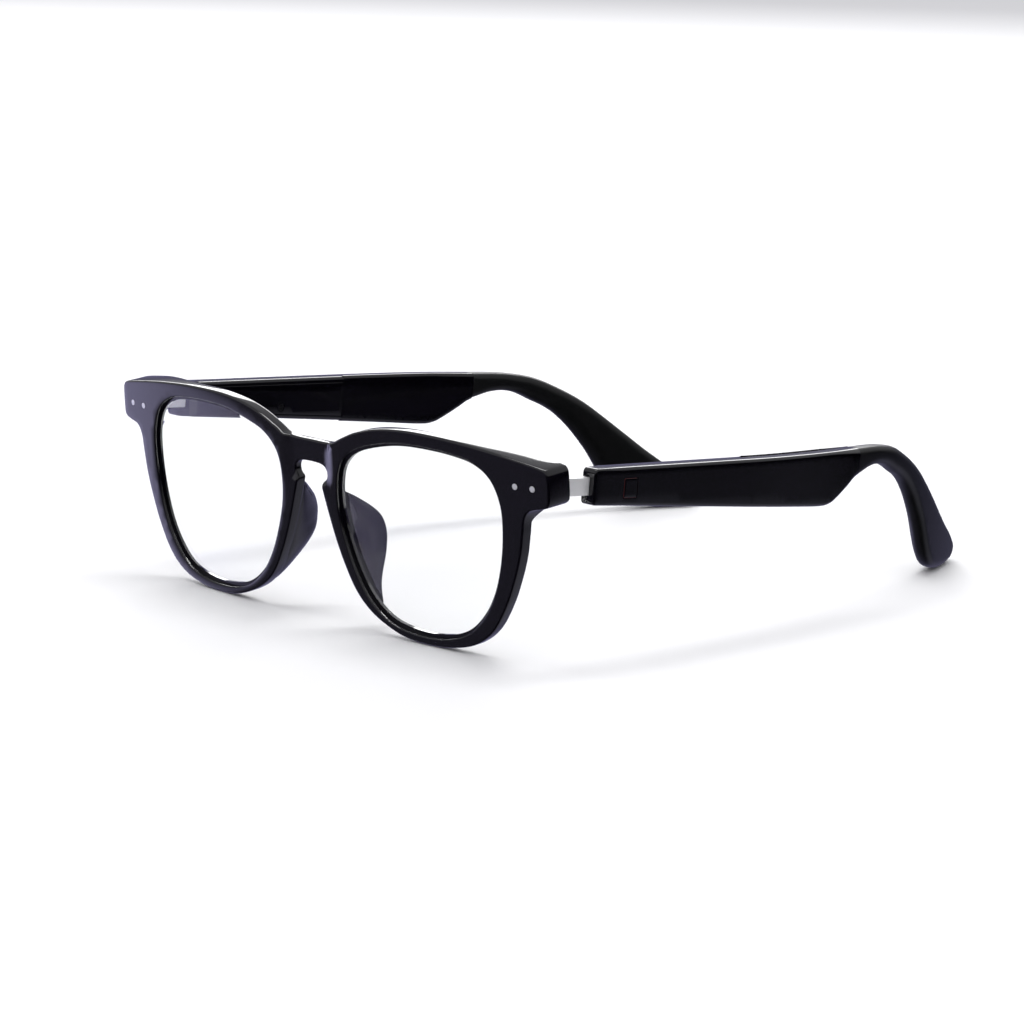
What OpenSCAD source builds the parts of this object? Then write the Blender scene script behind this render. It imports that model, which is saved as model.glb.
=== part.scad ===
// Smart audio glasses: a keyhole-bridge front with two lenses, and two folding temples that each
// hold a battery, a board, a speaker and a press key. Each temple turns on a metal tongue that is
// riveted into the front.
// The front is drawn upright in its own frame, x to the wearer's left, y to the rear, z up, with
// z = 0 at the rivets. Each temple is drawn in its own frame: x outwards, y along its length from
// the hinge pin, z up, with z = 0 on its top edge. place() then leans the whole on its rims and tips.

/* [Front] */
// Radius of the front's wrap around the face
wrap_r = 441; // [300:10:600]
// Depth of the rims, front to back
rim_d = 3.3; // [3.2:0.1:4]
// Depth of the end pieces, front to back
end_d = 7.0; // [6.6:0.1:7.2]
// How far the bridge sits behind the rims' front face
bridge_recess = 0.9; // [0.5:0.1:1.2]
// Thickness of a lens
lens_t = 1.5; // [1.2:0.1:1.6]
// How far a lens's edge goes into its groove
groove_d = 0.8; // [0.5:0.1:1.0]

/* [Hinge] */
// Height of the metal tongue
tongue_h = 3.9; // [3.6:0.1:4.2]
// Thickness of the metal tongue
tongue_t = 1.8; // [1.7:0.1:2]
// Radius of the hinge screw's shank
pin_r = 0.5; // [0.4:0.05:0.55]
// Radius of a rivet's head
rivet_r = 0.7; // [0.6:0.05:0.9]

/* [Temple] */
// Thickness of a temple
temple_t = 5.0; // [4.9:0.1:5.4]
// Height of a temple at its front end
temple_h = 8.1; // [8:0.1:8.3]
// Thickness of a temple's walls
wall = 1.1; // [1:0.05:1.2]
// Radius of the inward curve of a temple's rear part
curve_r = 240; // [220:10:400]
// Angle at which a temple drops from square to the front
drop = 9.75; // [8:0.25:11]

/* [Battery] */
// Height of a battery
battery_h = 7; // [6:0.1:7.2]
// Thickness of a battery
battery_t = 2.4; // [2:0.1:2.5]

/* [Key] */
// Width of the press key along the temple
key_w = 4.2; // [3.6:0.1:4.4]
// Height of the press key
key_h = 4.4; // [3.8:0.1:4.5]
// Travel of the press key
key_travel = 0.3; // [0.2:0.05:0.3]

/* [Hidden] */
$fn = 96;
fit = 0.05;                 // gap around a piece that is seated in another
slack = 0.1;                // gap between pieces that move past each other
lean = 6.0;                 // top of the front leans forward when the glasses rest on rims and tips
rest_y = -88.1;             // brings the middle of the resting glasses to the origin
rest_z = 39.73;             // brings the bottom of the rims to z = 0
steps = 4;                  // straight pieces between two points of a spline

// Right half of the front's outline, from the middle of the bridge over the top, round the end
// piece, under the rim, up the nose side and into the keyhole
front_half = [
    [0, 2.0], [5, 2.0], [8, 2.4], [11.5, 4.1], [16, 6.0], [22, 7.6], [29, 8.4], [36, 8.5],
    [45, 8.1], [55, 7.1], [64, 5.8], [69.4, 4.8], [70.8, 4.0], [71.2, 2.4], [71.2, -2.4],
    [70.6, -3.8], [69, -4.4], [65.8, -5.2], [64.3, -7.3], [63.7, -10.9], [62.8, -16],
    [61.1, -21.5], [58.4, -27.9], [54.5, -34], [49.2, -37.9], [42.5, -39.7], [35.5, -40.1],
    [28.5, -39.5], [22.5, -37.5], [17.5, -34.7], [13.6, -30.8], [10.4, -25.3], [7.9, -19.6],
    [5.8, -13.6], [4.5, -9.4], [4.1, -7.6], [5.0, -6.6], [5.3, -5.4], [4.7, -4.1],
    [3.1, -3.4], [0, -3.2]
];
// Edge of a lens opening, round once
opening = [
    [38, 5.5], [30, 5.4], [23, 4.3], [16, 2.2], [12, -0.5], [9.9, -4], [9.2, -9], [9.7, -14.5],
    [11.6, -20.8], [14.4, -27], [18.4, -32.6], [24.3, -36.6], [32, -38.2], [40, -38],
    [46.8, -36], [51.7, -31.8], [55.2, -26], [57.4, -18.5], [58.3, -11], [57.9, -4.7],
    [55.4, 0.6], [50.6, 3.8], [45, 5.0]
];
groove_front = 1.2;         // front wall of the lens groove, behind the front face
end_x = 60;                 // where the thick end piece begins
end_z = -6;                 // underside of the end piece's thick part
rivet_x = [62.35, 67.0];    // places of the two rivets on one side
plate_x = [60.9, 70.0];     // ends of the hinge's riveted plate
plate_t = 1.2;

pin_at = [68.5, 22.9, 1.4]; // hinge pin in the front's frame, at the height of the temple's top edge
pin_s = 2.2;                // from the temple's front end to the pin
x_out = 2.6;                // outer face of a temple, from the pin
x_in = x_out - temple_t;    // inner face
x_wall = x_out - wall;      // inside of the outer wall
cover_t = 1.0;              // thickness of the inner covers
x_cover = x_in + cover_t;   // inside of the inner covers
tongue_top = -2.1;          // top of the tongue below the temple's top edge
tongue_low = tongue_top - tongue_h;
pocket_z = [tongue_low - slack, tongue_top + slack];
fork_in = -1.1;             // inner face of the forked front end, thinner than the temple
tongue_len = 9.4;           // from the pin forward to the neck at the end piece

bend_s = 50;                // where the inward curve starts
bottom_slope = 0.054;       // fall of the temple's lower edge
corner_r = 1;               // corners of the temple's front end
tip_s = 93;                 // where the soft tip begins
cover_split = 51.8;         // seam between the speaker cover and the battery cover
cavity_end = 82;
cover_step = 0.2;           // the battery cover stands this much proud above and below
cover_fade = 12;            // length over which that step runs out before the tip

// Rear of the temple from the top edge round the tip and back under the arch to the knee
temple_rear = [
    [60, 0.2], [90, 0.4], [101, 0.4], [108.5, -0.1], [113, -1], [117, -2.4], [122, -4.5],
    [127, -7.1], [132, -10.4], [138, -14.6], [144, -18.9], [150, -22.9], [156, -27.1],
    [158.4, -29.5], [157, -32.2], [152, -33.5], [148.5, -34], [144, -33.6], [140, -32.5],
    [136.6, -29.9], [133.6, -26.3], [131.5, -23.1], [129.2, -19.8], [126.4, -16.5],
    [123.3, -13.3], [119.5, -10.2], [116, -8.2], [112.5, -6.8], [109, -5.3], [106, -4.4],
    [102.5, -4.05], [99, -4.4], [95.5, -5.4], [92, -6.6], [89.5, -8.1], [87, -9.5],
    [84.5, -10.8], [82, -11.8], [78, -12.2], [66, -11.6]
];
// Middle line of the metal core that stiffens the tip
core_line = [[84, -2.6], [93, -2], [102, -1.9], [109, -2.9], [115, -5.2], [121, -8.6],
    [127, -12.6], [132, -16.6]];
core_w = 1.4;
core_x = [-0.5, 0.7];

cavity_top = -1.2;
cavity_front = 5.5;
board_s = [7, 30];
board_z = [-6.6, -1.5];
board_x = [-0.6, 0];
chip_s = [19, 23.5];
contact_s = [10.5, 14.5];
contact_z = -3.4;
contact_r = 0.75;
mic_s = [26, 29];
screw_at = [31.5, -6.9];
speaker_s = [33.2, 47];
mesh_s = [36, 44];
mesh_x = [-0.6, 0.8];
battery_s = [54.3, 79];
ribbon_x = [x_wall - 0.18, x_wall - 0.03];
key_s = 9.5;                // front edge of the key
key_z = -2.4;               // top edge of the key
key_lip = 0.3;              // lip that keeps the key in its window
key_x = x_wall - 0.6;       // inner face of the key

// ---------- curves ----------

// Point at u between b and c on the curve through a, b, c and d
function blend4(a, b, c, d, u) =
    0.5 * (2 * b + (c - a) * u + (2 * a - 5 * b + 4 * c - d) * u * u
        + (3 * b - a - 3 * c + d) * u * u * u);

// Smooth loop through the points
function loop(p) = let (n = len(p))
    [for (i = [0 : n - 1], k = [0 : steps - 1])
        blend4(p[(i + n - 1) % n], p[i], p[(i + 1) % n], p[(i + 2) % n], k / steps)];

// Smooth open line through the points
function line(p) = let (n = len(p))
    concat([for (i = [0 : n - 2], k = [0 : steps - 1])
        blend4(p[max(i - 1, 0)], p[i], p[i + 1], p[min(i + 2, n - 1)], k / steps)], [p[n - 1]]);

// Direction of a line of points at point i
function heading(p, i) = let (a = p[max(i - 1, 0)], b = p[min(i + 1, len(p) - 1)])
    (b - a) / norm(b - a);

// Loop of points moved outwards, each by its own distance, for a loop that runs anticlockwise
function grow_each(p, d) = let (n = len(p))
    [for (i = [0 : n - 1])
        let (a = p[(i + n - 1) % n], b = p[(i + 1) % n], t = (b - a) / norm(b - a))
        p[i] + d[i] * [t[1], -t[0]]];

// Loop of points moved outwards by d all round
function grow(p, d) = grow_each(p, [for (q = p) d]);

// Strip of width w along a line of points
function strip(p, w) = let (n = len(p))
    concat([for (i = [0 : n - 1]) p[i] + w / 2 * [-heading(p, i)[1], heading(p, i)[0]]],
        [for (i = [n - 1 : -1 : 0]) p[i] - w / 2 * [-heading(p, i)[1], heading(p, i)[0]]]);

// Quarter circle of radius r about c, from angle a0 to a1
function arc(c, r, a0, a1) =
    [for (k = [0 : 4]) c + r * [cos(a0 + (a1 - a0) * k / 4), sin(a0 + (a1 - a0) * k / 4)]];

// Rectangle between two ranges
function rect(a, b) = [[a[0], b[0]], [a[1], b[0]], [a[1], b[1]], [a[0], b[1]]];

// Whole outline of the front
front_right = line(front_half);
front_outline = concat(front_right,
    [for (i = [len(front_right) - 2 : -1 : 1]) [-front_right[i][0], front_right[i][1]]]);
lens_edge = loop(opening);

// Lower edge of the temple at s from its front end
function low_edge(s) = -temple_h - bottom_slope * (s - corner_r);

temple_outline = concat(
    arc([corner_r, -temple_h + corner_r], corner_r, 270, 180),
    arc([corner_r, -corner_r], corner_r, 180, 90),
    line(temple_rear));
cover_outline = grow_each(temple_outline,
    [for (q = temple_outline) -cover_step * max(0, min(1, (tip_s - q[0]) / cover_fade))]);
cavity_outline = [
    [cavity_front, cavity_top], [cavity_end, cavity_top], [cavity_end, -8.3], [79, -9.9],
    [75, low_edge(75) + wall], [cavity_front, low_edge(cavity_front) + wall]
];

// ---------- placing ----------

// Leans the glasses on their rims and tips
module place() {
    translate([0, rest_y, rest_z])
        rotate([lean, 0, 0])
            children();
}

// Draws for the wearer's left, or mirrors for the right
module on(side) {
    if (side == "left")
        place() children();
    else
        place() mirror([1, 0, 0]) children();
}

// Carries a temple piece, drawn with y from the temple's front end, to its hinge
module temple_place(side) {
    on(side)
        translate(pin_at)
            rotate([-drop, 0, 0])
                translate([0, -pin_s, 0])
                    children();
}

// Stands a piece of the front square to its curved face at x
module on_wrap(x) {
    translate([0, wrap_r, 0])
        rotate([0, 0, asin(x / wrap_r)])
            translate([0, -wrap_r, 0])
                children();
}

// ---------- building blocks ----------

// Upright outline drawn out from y0 to y1
module upright(points, y0, y1) {
    translate([0, y1, 0])
        rotate([90, 0, 0])
            linear_extrude(y1 - y0)
                polygon(points);
}

// Curved layer of the front between two depths behind its front face
module layer(d0, d1) {
    translate([0, wrap_r, -60])
        difference() {
            cylinder(h = 90, r = wrap_r - d0, $fn = 256);
            translate([0, 0, -1])
                cylinder(h = 92, r = wrap_r - d1, $fn = 256);
        }
}

// Upright outline cut from a curved layer of the front
module front_piece(points, d0, d1) {
    intersection() {
        upright(points, -2, 20);
        layer(d0, d1);
    }
}

// Layer of a temple between two distances from the pin's plane, straight and then curving inwards
module side_layer(x0, x1) {
    low = -45;
    tall = 60;
    union() {
        translate([x0, -12, low])
            cube([x1 - x0, 12 + bend_s, tall]);
        intersection() {
            translate([x_out - curve_r, bend_s, low])
                difference() {
                    cylinder(h = tall, r = curve_r - x_out + x1, $fn = 256);
                    translate([0, 0, -1])
                        cylinder(h = tall + 2, r = curve_r - x_out + x0, $fn = 256);
                }
            translate([-40, bend_s, low])
                cube([60, 120, tall]);
        }
    }
}

// Side outline of a temple piece cut from one of its layers
module side_piece(points, x0, x1) {
    intersection() {
        translate([-60, 0, 0])
            rotate([90, 0, 90])
                linear_extrude(80)
                    polygon(points);
        side_layer(x0, x1);
    }
}

// Plain block in a temple's frame, given by its ranges
module block(x, s, z) {
    translate([x[0], s[0], z[0]])
        cube([x[1] - x[0], s[1] - s[0], z[1] - z[0]]);
}

// Round pin across a temple, from x0 to x1
module cross_pin(s, z, r, x0, x1) {
    translate([x0, s, z])
        rotate([0, 90, 0])
            cylinder(h = x1 - x0, r = r);
}

// ---------- front ----------

// Both lens openings and the grooves that hold the lenses
module lens_seats() {
    for (m = [0, 1])
        mirror([m, 0, 0]) {
            upright(lens_edge, -2, 20);
            front_piece(grow(lens_edge, groove_d), groove_front, groove_front + lens_t + 2 * fit);
        }
}

// Holes for the rivets on one side, square to the front's face
module rivet_holes() {
    for (x = rivet_x)
        on_wrap(x)
            translate([0, 20, 0])
                rotate([90, 0, 0])
                    cylinder(h = 22, r = rivet_r + fit / 2);
}

// Holes for the rivets and the recess for the hinge plate on one side
module hinge_seat() {
    rivet_holes();
    front_piece(rect([plate_x[0] - fit, plate_x[1] + fit], [-tongue_h / 2 - fit, tongue_h / 2 + fit]),
        end_d - plate_t - fit, end_d + 2);
}

module front_frame() {
    color("#17161c")
        place()
            difference() {
                union() {
                    front_piece(front_outline, 0, rim_d);
                    for (m = [0, 1])
                        mirror([m, 0, 0])
                            intersection() {
                                front_piece(front_outline, 0, end_d);
                                translate([end_x, -5, end_z])
                                    cube([20, 30, 20]);
                            }
                }
                lens_seats();
                for (m = [0, 1])
                    mirror([m, 0, 0])
                        hinge_seat();
                front_piece(rect([-7.2, 7.2], [-7.8, 4]), -1, bridge_recess);
            }
}

module lens(side) {
    color([0.62, 0.68, 0.95, 0.35])
        on(side)
            front_piece(grow(lens_edge, groove_d - fit), groove_front + fit,
                groove_front + fit + lens_t);
}

// Saddle pad: its front edge is bonded behind the nose side of the rim
module nose_pad(side) {
    bead = 0.7;
    seat = rim_d + 0.5;
    color("#17161c")
        on(side)
            hull() {
                for (p = [[6.2, seat, -9.5], [8.0, seat, -17], [9.9, seat, -22.5],
                        [13.2, seat, -29.2], [15.6, seat, -32.4], [9.2, 7.0, -11.2],
                        [11.2, 10.6, -15], [11.8, 12.0, -19], [12.4, 11.3, -23],
                        [14.2, 7.6, -29.4]])
                    translate(p)
                        sphere(r = bead, $fn = 20);
            }
}

module rivets(side) {
    color("#c9cacd")
        on(side)
            for (x = rivet_x)
                on_wrap(x)
                    translate([0, end_d - plate_t / 2, 0])
                        rotate([90, 0, 0])
                            cylinder(h = end_d - plate_t / 2 + 0.05, r = rivet_r);
}

// Riveted plate, neck and tongue, with the knuckle that turns on the hinge screw
module hinge_bar(side) {
    neck_x = pin_at[0] - tongue_t / 2;
    neck_y = wrap_r - sqrt(wrap_r * wrap_r - pin_at[0] * pin_at[0]) + end_d - 0.5;
    color("#bfc1c6")
        union() {
            on(side) {
                difference() {
                    front_piece(rect(plate_x, [-tongue_h / 2, tongue_h / 2]),
                        end_d - plate_t, end_d);
                    rivet_holes();
                }
                translate([neck_x, neck_y, -tongue_h / 2])
                    cube([tongue_t, 1.3, 2.8]);
            }
            temple_place(side)
                difference() {
                    union() {
                        translate([-tongue_t / 2, pin_s - tongue_len, tongue_low])
                            cube([tongue_t, tongue_len, tongue_h]);
                        translate([0, pin_s, tongue_low])
                            cylinder(h = tongue_h, r = tongue_t / 2);
                    }
                    translate([0, pin_s, tongue_low - 1])
                        cylinder(h = tongue_h + 2, r = pin_r + fit);
                }
        }
}

// ---------- temples ----------

module hinge_screw(side) {
    head_h = 0.7;
    color("#9a9ca2")
        temple_place(side) {
            translate([0, pin_s, low_edge(pin_s) + 0.15])
                cylinder(h = -low_edge(pin_s) - 0.85, r = pin_r);
            translate([0, pin_s, low_edge(pin_s) + 0.15])
                cylinder(h = head_h, r = 0.8);
        }
}

// Slot for the tongue, hole for the screw, recess for its head, and the thinner front end
module fork_cut() {
    block([-20, tongue_t / 2 + 0.15], [-5, pin_s + tongue_t / 2 + 0.2], pocket_z);
    translate([0, pin_s, low_edge(pin_s) - 1])
        cylinder(h = -low_edge(pin_s) + 0.4, r = pin_r + fit / 2);
    translate([0, pin_s, low_edge(pin_s) - 1])
        cylinder(h = 1.9, r = 0.85);
    translate([0, 0, -20])
        linear_extrude(25)
            polygon([[-20, -5], [fork_in, -5], [fork_in, 3.8], [x_in, 5.1], [-20, 5.1]]);
}

// Window for the key, slot for the speaker mesh and port for the microphone
module wall_cuts() {
    block([x_wall - 0.5, x_out + 1], [key_s - slack, key_s + key_w + slack],
        [key_z - key_h - slack, key_z + slack]);
    side_piece([[mesh_s[0], low_edge(mesh_s[0]) - 1], [mesh_s[1], low_edge(mesh_s[1]) - 1],
        [mesh_s[1], low_edge(mesh_s[1]) + wall + 0.5], [mesh_s[0], low_edge(mesh_s[0]) + wall + 0.5]],
        mesh_x[0], mesh_x[1]);
    translate([-1, (mic_s[0] + mic_s[1]) / 2, low_edge(mic_s[0]) - 1])
        cylinder(h = wall + 1.5, r = 0.35, $fn = 32);
}

module temple_shell(side) {
    boss_r = 1.0;
    color("#17161c")
        temple_place(side)
            difference() {
                union() {
                    difference() {
                        intersection() {
                            side_piece(temple_outline, x_in, x_out);
                            block([-60, 20], [-2, tip_s], [-40, 5]);
                        }
                        side_piece(cavity_outline, x_in - 2, x_wall);
                    }
                    cross_pin(screw_at[0], screw_at[1], boss_r, x_cover + fit, x_wall + 0.2);
                }
                side_piece(rect([cover_split - fit, tip_s + 1], [-14, 2]),
                    x_in - 2, x_cover + fit);
                fork_cut();
                wall_cuts();
                cross_pin(screw_at[0], screw_at[1], 0.5 + fit / 2, x_cover - 1, x_wall - 0.2);
                side_piece(strip(line(core_line), core_w + 2 * fit), core_x[0] - fit, core_x[1] + fit);
            }
}

module speaker_cover(side) {
    edge = [
        [cavity_front + fit, cavity_top - fit], [cover_split - fit, cavity_top - fit],
        [cover_split - fit, low_edge(cover_split) + wall + fit],
        [cavity_front + fit, low_edge(cavity_front) + wall + fit]
    ];
    color("#1c1b22")
        temple_place(side)
            difference() {
                side_piece(edge, x_in, x_cover);
                for (s = contact_s)
                    cross_pin(s, contact_z, contact_r + fit / 2, x_in - 1, x_cover + 1);
                cross_pin(screw_at[0], screw_at[1], 0.5 + fit, x_in - 1, x_cover + 1);
                cross_pin(screw_at[0], screw_at[1], 0.95, x_in - 1, x_in + 0.5);
            }
}

module battery_cover(side) {
    color("#1c1b22")
        temple_place(side)
            intersection() {
                side_piece(cover_outline, x_in - 0.1, x_cover);
                block([-60, 20], [cover_split, tip_s - fit], [-40, 5]);
            }
}

module temple_tip(side) {
    color("#232327")
        temple_place(side)
            difference() {
                intersection() {
                    side_piece(temple_outline, x_in, x_out);
                    block([-60, 20], [tip_s, 165], [-40, 5]);
                }
                side_piece(strip(line(core_line), core_w + 2 * fit), core_x[0] - fit, core_x[1] + fit);
            }
}

module tip_core(side) {
    color("#a8a9ad")
        temple_place(side)
            side_piece(strip(line(core_line), core_w), core_x[0], core_x[1]);
}

// ---------- electronics ----------

module main_board(side) {
    color("#1f5b3a")
        temple_place(side)
            block(board_x, board_s, board_z);
}

module audio_chip(side) {
    color("#2a2a2e")
        temple_place(side)
            block([board_x[0] - 0.65, board_x[0]], chip_s, [-5.7, -2.4]);
}

module key_switch(side) {
    color("#d8c27a")
        temple_place(side)
            block([board_x[1], key_x - key_travel - fit], [key_s + 0.6, key_s + key_w - 0.6],
                [key_z - key_h + 0.8, key_z - 0.8]);
}

module press_key(side) {
    color("#2b1519")
        temple_place(side) {
            block([key_x, x_out], [key_s, key_s + key_w], [key_z - key_h, key_z]);
            block([key_x, x_wall - slack], [key_s - key_lip, key_s + key_w + key_lip],
                [key_z - key_h - key_lip, key_z + key_lip]);
        }
}

module battery(side) {
    color("#8d9096")
        temple_place(side)
            side_piece(rect(battery_s, [-1.7 - battery_h, -1.7]), -1.15, -1.15 + battery_t);
}

// Flat ribbon from the board along the outer wall to the battery
module battery_ribbon(side) {
    color("#b06a2a")
        temple_place(side)
            union() {
                side_piece(rect([30.1, battery_s[0] + 3], [-5.4, -3.0]), ribbon_x[0], ribbon_x[1]);
                block([board_x[0], ribbon_x[0] + 0.05], [30.1, 30.3], [-5.4, -3.0]);
            }
}

module speaker(side) {
    color("#3a3b40")
        temple_place(side)
            side_piece(rect(speaker_s, [-8.1, -1.8]), -1.2, 1.25);
}

module speaker_mesh(side) {
    color("#4a4b50")
        temple_place(side)
            side_piece([[mesh_s[0] + fit, low_edge(mesh_s[0]) + 0.15],
                [mesh_s[1] - fit, low_edge(mesh_s[1]) + 0.15],
                [mesh_s[1] - fit, low_edge(mesh_s[1]) + 0.6],
                [mesh_s[0] + fit, low_edge(mesh_s[0]) + 0.6]], mesh_x[0] + fit, mesh_x[1] - fit);
}

module microphone(side) {
    color("#c0c1c4")
        temple_place(side)
            block([board_x[0] - 0.7, board_x[0]], mic_s, [-6.5, -4.6]);
}

module charging_contacts(side) {
    color("#d9b45a")
        temple_place(side)
            for (s = contact_s)
                cross_pin(s, contact_z, contact_r, x_in, board_x[0]);
}

module dock_magnet(side) {
    color("#8a8b8f")
        temple_place(side)
            cross_pin((contact_s[0] + contact_s[1]) / 2, contact_z, 0.9, x_cover + fit, board_x[0]);
}

module antenna(side) {
    color("#c98a4b")
        temple_place(side)
            block([0.2, x_wall - 0.1], board_s, [cavity_top - 0.2, cavity_top]);
}

module cover_screw(side) {
    color("#9a9ca2")
        temple_place(side)
            union() {
                cross_pin(screw_at[0], screw_at[1], 0.5, x_in + 0.1, x_wall - 0.3);
                cross_pin(screw_at[0], screw_at[1], 0.9, x_in + 0.1, x_in + 0.5);
            }
}

front_frame();
lens("left");  // lens_left
lens("right");  // lens_right
nose_pad("left");  // nose_pad_left
nose_pad("right");  // nose_pad_right
hinge_bar("left");  // hinge_bar_left
hinge_bar("right");  // hinge_bar_right
rivets("left");  // rivets_left
rivets("right");  // rivets_right
hinge_screw("left");  // hinge_screw_left
hinge_screw("right");  // hinge_screw_right
temple_shell("left");  // temple_shell_left
temple_shell("right");  // temple_shell_right
speaker_cover("left");  // speaker_cover_left
speaker_cover("right");  // speaker_cover_right
battery_cover("left");  // battery_cover_left
battery_cover("right");  // battery_cover_right
temple_tip("left");  // temple_tip_left
temple_tip("right");  // temple_tip_right
tip_core("left");  // tip_core_left
tip_core("right");  // tip_core_right
main_board("left");  // main_board_left
main_board("right");  // main_board_right
audio_chip("left");  // audio_chip_left
audio_chip("right");  // audio_chip_right
key_switch("left");  // key_switch_left
key_switch("right");  // key_switch_right
press_key("left");  // press_key_left
press_key("right");  // press_key_right
battery("left");  // battery_left
battery("right");  // battery_right
battery_ribbon("left");  // battery_ribbon_left
battery_ribbon("right");  // battery_ribbon_right
speaker("left");  // speaker_left
speaker("right");  // speaker_right
speaker_mesh("left");  // speaker_mesh_left
speaker_mesh("right");  // speaker_mesh_right
microphone("left");  // microphone_left
microphone("right");  // microphone_right
charging_contacts("left");  // charging_contacts_left
charging_contacts("right");  // charging_contacts_right
dock_magnet("left");  // dock_magnet_left
dock_magnet("right");  // dock_magnet_right
antenna("left");  // antenna_left
antenna("right");  // antenna_right
cover_screw("left");  // cover_screw_left
cover_screw("right");  // cover_screw_right
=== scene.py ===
from math import cos, pi, radians, sin, tau

import bmesh
import bpy
import numpy as np
from mathutils import Matrix, Vector
from mathutils.geometry import delaunay_2d_cdt


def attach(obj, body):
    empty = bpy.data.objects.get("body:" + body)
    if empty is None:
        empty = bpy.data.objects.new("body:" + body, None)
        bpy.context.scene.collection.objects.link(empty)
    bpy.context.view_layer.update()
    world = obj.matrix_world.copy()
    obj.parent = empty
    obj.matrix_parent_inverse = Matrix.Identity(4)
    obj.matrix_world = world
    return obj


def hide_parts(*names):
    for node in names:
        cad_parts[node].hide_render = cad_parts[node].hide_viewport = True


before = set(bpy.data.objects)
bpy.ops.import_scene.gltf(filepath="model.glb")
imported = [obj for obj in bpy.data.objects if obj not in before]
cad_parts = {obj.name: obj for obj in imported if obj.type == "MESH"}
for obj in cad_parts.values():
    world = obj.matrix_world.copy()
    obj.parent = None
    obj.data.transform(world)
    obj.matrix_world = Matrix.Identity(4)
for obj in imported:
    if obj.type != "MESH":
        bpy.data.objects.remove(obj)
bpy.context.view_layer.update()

SIDES = (("left", 1), ("right", -1))


# ---------------------------------------------------------------------------
# Floor, light and camera. The glasses rest on a plain pale floor under soft studio
# panels, and are seen from the front and the wearer's left, slightly from above.
# ---------------------------------------------------------------------------
def plain_material(name, colour, roughness=0.5, **sockets):
    """A material with these values on its shader's own sockets."""
    material = bpy.data.materials.new(name)
    material.use_nodes = True
    shader = material.node_tree.nodes["Principled BSDF"]
    shader.inputs["Base Color"].default_value = (*colour, 1)
    shader.inputs["Roughness"].default_value = roughness
    for socket, value in sockets.items():
        shader.inputs[socket.replace("_", " ")].default_value = value
    return material


def add_object(name, mesh):
    piece = bpy.data.objects.new(name, mesh)
    bpy.context.scene.collection.objects.link(piece)
    return piece


def add_floor():
    half, z = 40.0, -0.0001
    mesh = bpy.data.meshes.new("floor")
    mesh.from_pydata([(-half, -half, z), (half, -half, z), (half, half, z), (-half, half, z)], [],
                     [(0, 1, 2, 3)])
    mesh.materials.append(plain_material("floor_paper", (0.92, 0.92, 0.925), 0.95))
    floor = add_object("floor", mesh)
    floor.visible_glossy = False      # polished faces mirror the dark surroundings below, as on a stand


def add_panel(name, place, target, size, radiance, mirrored=True):
    """A soft rectangular light at place that faces target, mirrored in polished faces or not."""
    light = bpy.data.lights.new(name, "AREA")
    light.shape = "RECTANGLE"
    light.size, light.size_y = size
    light.energy = radiance * pi * size[0] * size[1]
    panel = bpy.data.objects.new(name, light)
    bpy.context.scene.collection.objects.link(panel)
    panel.location = place
    aim = Vector(target) - Vector(place)
    panel.rotation_euler = aim.to_track_quat("-Z", "Y").to_euler()
    panel.visible_camera = False
    panel.visible_glossy = mirrored


def add_camera():
    azimuth, elevation, roll = radians(45.0), radians(11.02), radians(1.846)
    distance = 0.92106
    target = Vector((0.0658, -0.08767, 0.03568))
    back = Vector((sin(azimuth) * cos(elevation), -cos(azimuth) * cos(elevation), sin(elevation)))
    lens = bpy.data.cameras.new("camera")
    lens.sensor_width = 36
    lens.lens = 150.65
    camera = bpy.data.objects.new("camera", lens)
    bpy.context.scene.collection.objects.link(camera)
    turn = back.to_track_quat("Z", "Y").to_matrix() @ Matrix.Rotation(roll, 3, "Z")
    camera.matrix_world = Matrix.Translation(target + back * distance) @ turn.to_4x4()
    bpy.context.scene.camera = camera


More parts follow.
